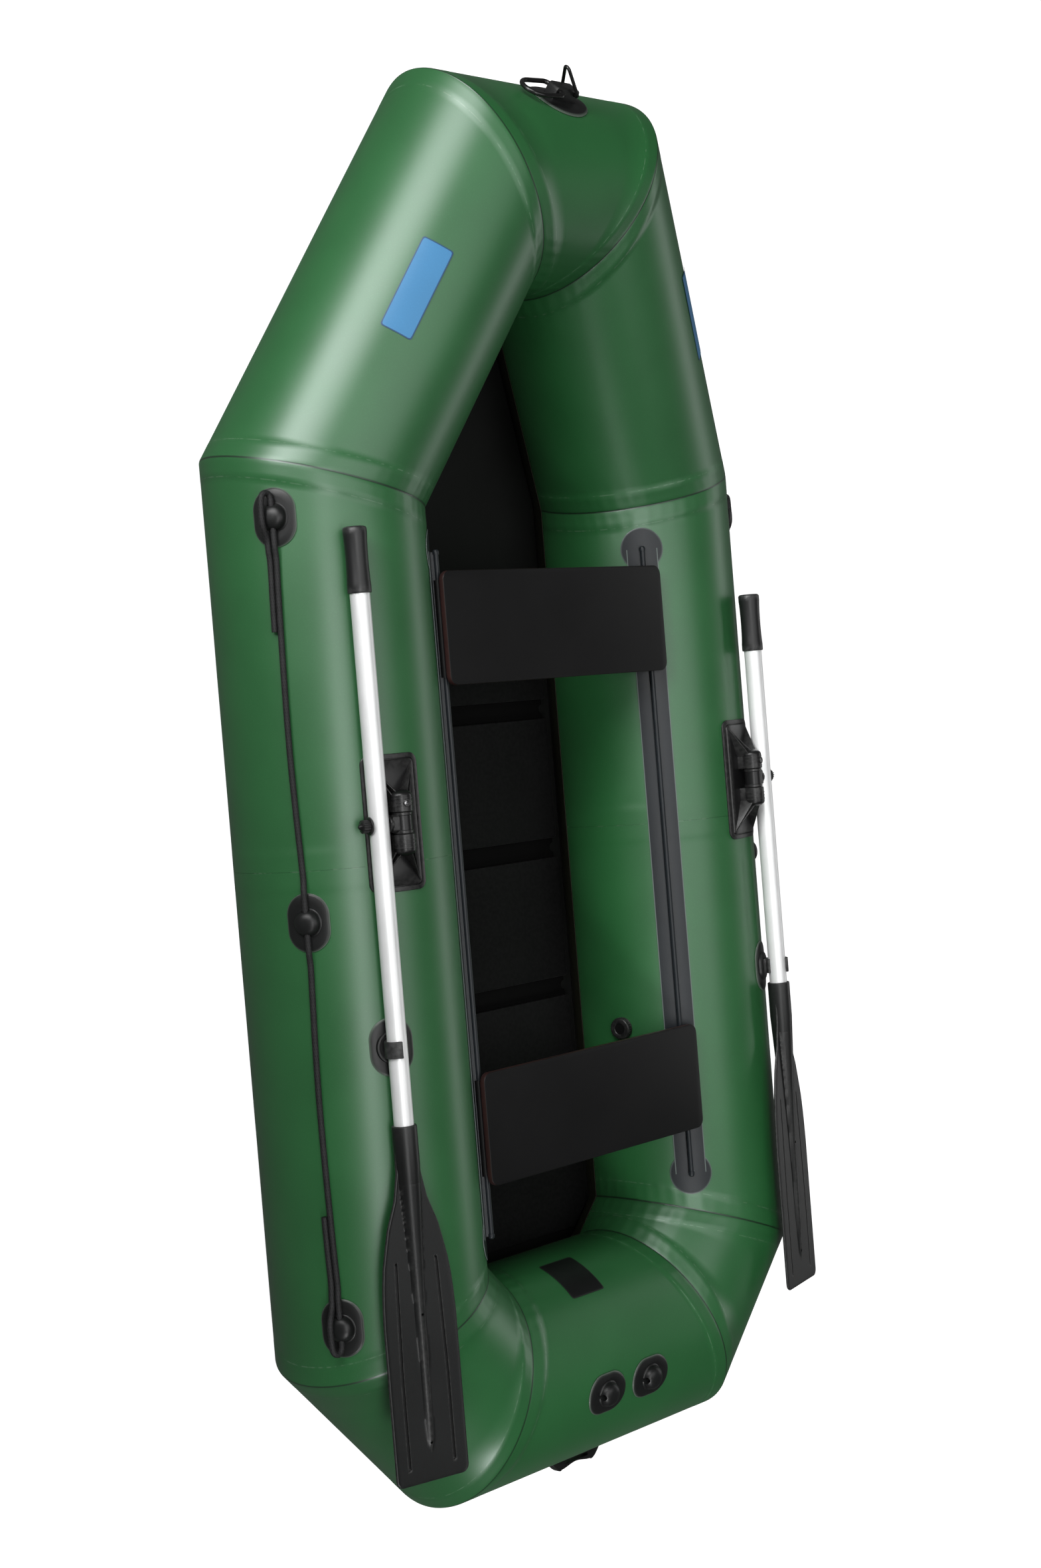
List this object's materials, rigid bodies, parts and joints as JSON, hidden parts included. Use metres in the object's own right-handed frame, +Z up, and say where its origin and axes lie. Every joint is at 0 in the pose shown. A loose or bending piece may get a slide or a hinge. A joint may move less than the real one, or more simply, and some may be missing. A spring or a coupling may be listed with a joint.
{
  "type": "inflatable boat",
  "caption": "Two-chamber inflatable rowing boat with a raised bow, slatted floor, sliding seats, oars in roll-out oarlocks, lifelines, valves, bow rings and a stern handle.",
  "frame": {"origin": "centre of the boat's length and width, on the ground under the tubes", "axes": "+Y towards the bow, +X to starboard, +Z up"},
  "size_m": [1.104, 2.2517, 0.4623],
  "materials": {
    "green_hull_fabric": "coated fabric with a fine leather-like grain, satin",
    "olive_bottom_fabric": "coated fabric, olive brown, satin",
    "black_floor_fabric": "woven, matt",
    "black_floor_board": "coated board, matt",
    "black_seat_board": "coated board, satin, red-brown edges",
    "rail_rubber": "slate grey, satin",
    "pad_rubber": "dark grey, satin",
    "black_plastic": "moulded, satin",
    "grip_rubber": "moulded, matt",
    "bright_aluminium": "drawn tube, brushed along",
    "steel": "turned",
    "black_rope": "braided"
  },
  "bodies": {
    "hull": {"bow_chamber": "green_hull_fabric", "stern_chamber": "green_hull_fabric", "bulkhead_left": "green_hull_fabric", "bulkhead_right": "green_hull_fabric", "bottom_sheet": "olive_bottom_fabric", "floor_cover": "black_floor_fabric", "floor_panel_1": "black_floor_board", "floor_panel_2": "black_floor_board", "floor_panel_3": "black_floor_board", "floor_panel_4": "black_floor_board", "floor_panel_5": "black_floor_board", "rail_left": "rail_rubber", "clip_pad_left": "pad_rubber", "clip_hook_left": "pad_rubber", "line_eyelet_left_1": "pad_rubber", "line_eyelet_left_2": "pad_rubber", "line_eyelet_left_3": "pad_rubber", "stern_eyelet_left": "pad_rubber", "lifeline_left": "black_rope", "rail_right": "rail_rubber", "clip_pad_right": "pad_rubber", "clip_hook_right": "pad_rubber", "line_eyelet_right_1": "pad_rubber", "line_eyelet_right_2": "pad_rubber", "line_eyelet_right_3": "pad_rubber", "stern_eyelet_right": "pad_rubber", "lifeline_right": "black_rope", "bow_bracket": "pad_rubber", "stern_handle": "black_plastic", "oarlock_base_left": "black_plastic", "oarlock_axle_left": "steel", "oarlock_base_right": "black_plastic", "oarlock_axle_right": "steel", "valve_body_bow": "black_plastic", "valve_body_stern": "black_plastic"},
    "seat_front": {"seat_board_front": "black_seat_board", "seat_channel_front_left": "black_plastic", "seat_channel_front_right": "black_plastic"},
    "seat_rear": {"seat_board_rear": "black_seat_board", "seat_channel_rear_left": "black_plastic", "seat_channel_rear_right": "black_plastic"},
    "oarlock_left": {"oarlock_barrel_left": "black_plastic"},
    "nut_left": {"oarlock_nut_left": "black_plastic"},
    "oar_left": {"oar_shaft_left": "bright_aluminium", "oar_grip_left": "grip_rubber", "oar_blade_left": "black_plastic"},
    "ring_left": {"bow_ring_left": "black_plastic"},
    "oarlock_right": {"oarlock_barrel_right": "black_plastic"},
    "nut_right": {"oarlock_nut_right": "black_plastic"},
    "oar_right": {"oar_shaft_right": "bright_aluminium", "oar_grip_right": "grip_rubber", "oar_blade_right": "black_plastic"},
    "ring_right": {"bow_ring_right": "black_plastic"},
    "plunger_bow": {"valve_plunger_bow": "black_plastic", "valve_spring_bow": "steel"},
    "cap_bow": {"valve_cap_bow": "black_plastic"},
    "plunger_stern": {"valve_plunger_stern": "black_plastic", "valve_spring_stern": "steel"},
    "cap_stern": {"valve_cap_stern": "black_plastic"}
  },
  "joints": [
    {"name": "seat_front_slide", "type": "slide", "parent": "hull", "child": "seat_front", "axis": [0, 1, 0], "range_m": [-0.25, 0.03]},
    {"name": "seat_rear_slide", "type": "slide", "parent": "hull", "child": "seat_rear", "axis": [0, 1, 0], "range_m": [-0.08, 0.26]},
    {"name": "oar_roll_right", "type": "hinge", "parent": "hull", "child": "oarlock_right", "pos_m": [0.41893, -0.0188, 0.35824], "axis": [0, -1, 0], "range_deg": [0, 96], "deforming": ["clip_hook_right"]},
    {"name": "oar_swing_right", "type": "hinge", "parent": "oarlock_right", "child": "oar_right", "pos_m": [0.45775, -0.0188, 0.34856], "axis": [-0.9703, 0, 0.2419], "range_deg": [0, 1.4], "deforming": ["clip_hook_right"]},
    {"name": "nut_spin_right", "type": "hinge", "parent": "oarlock_right", "child": "nut_right", "pos_m": [0.47259, -0.0188, 0.34486], "axis": [0.9703, 0, -0.2419], "continuous": true},
    {"name": "oar_roll_left", "type": "hinge", "parent": "hull", "child": "oarlock_left", "pos_m": [-0.41893, -0.0188, 0.35824], "axis": [0, 1, 0], "range_deg": [0, 96], "deforming": ["clip_hook_left"]},
    {"name": "oar_swing_left", "type": "hinge", "parent": "oarlock_left", "child": "oar_left", "pos_m": [-0.45775, -0.0188, 0.34856], "axis": [-0.9703, 0, -0.2419], "range_deg": [0, 1.4], "deforming": ["clip_hook_left"]},
    {"name": "nut_spin_left", "type": "hinge", "parent": "oarlock_left", "child": "nut_left", "pos_m": [-0.47259, -0.0188, 0.34486], "axis": [-0.9703, 0, -0.2419], "continuous": true},
    {"name": "valve_push_bow", "type": "slide", "parent": "hull", "child": "plunger_bow", "axis": [-0.9816, 0, -0.1908], "range_m": [0, 0.005], "stiffness_N_per_m": 400, "springref_m": -0.002, "deforming": ["valve_spring_bow"]},
    {"name": "valve_cap_turn_bow", "type": "hinge", "parent": "hull", "child": "cap_bow", "pos_m": [-0.20512, 0.2207, 0.20244], "axis": [0.9816, 0, 0.1908], "range_deg": [0, 90]},
    {"name": "valve_push_stern", "type": "slide", "parent": "hull", "child": "plunger_stern", "axis": [0.9816, 0, -0.1908], "range_m": [0, 0.005], "stiffness_N_per_m": 400, "springref_m": -0.002, "deforming": ["valve_spring_stern"]},
    {"name": "valve_cap_turn_stern", "type": "hinge", "parent": "hull", "child": "cap_stern", "pos_m": [0.20512, -0.4263, 0.20244], "axis": [-0.9816, 0, 0.1908], "range_deg": [0, 90]},
    {"name": "bow_ring_swing_left", "type": "hinge", "parent": "hull", "child": "ring_left", "pos_m": [-0.017, 1.09428, 0.41755], "axis": [0, 0.6678, -0.7443], "range_deg": [0, 90]},
    {"name": "bow_ring_swing_right", "type": "hinge", "parent": "hull", "child": "ring_right", "pos_m": [0.017, 1.09428, 0.41755], "axis": [0, 0.6678, -0.7443], "range_deg": [0, 125]}
  ]
}
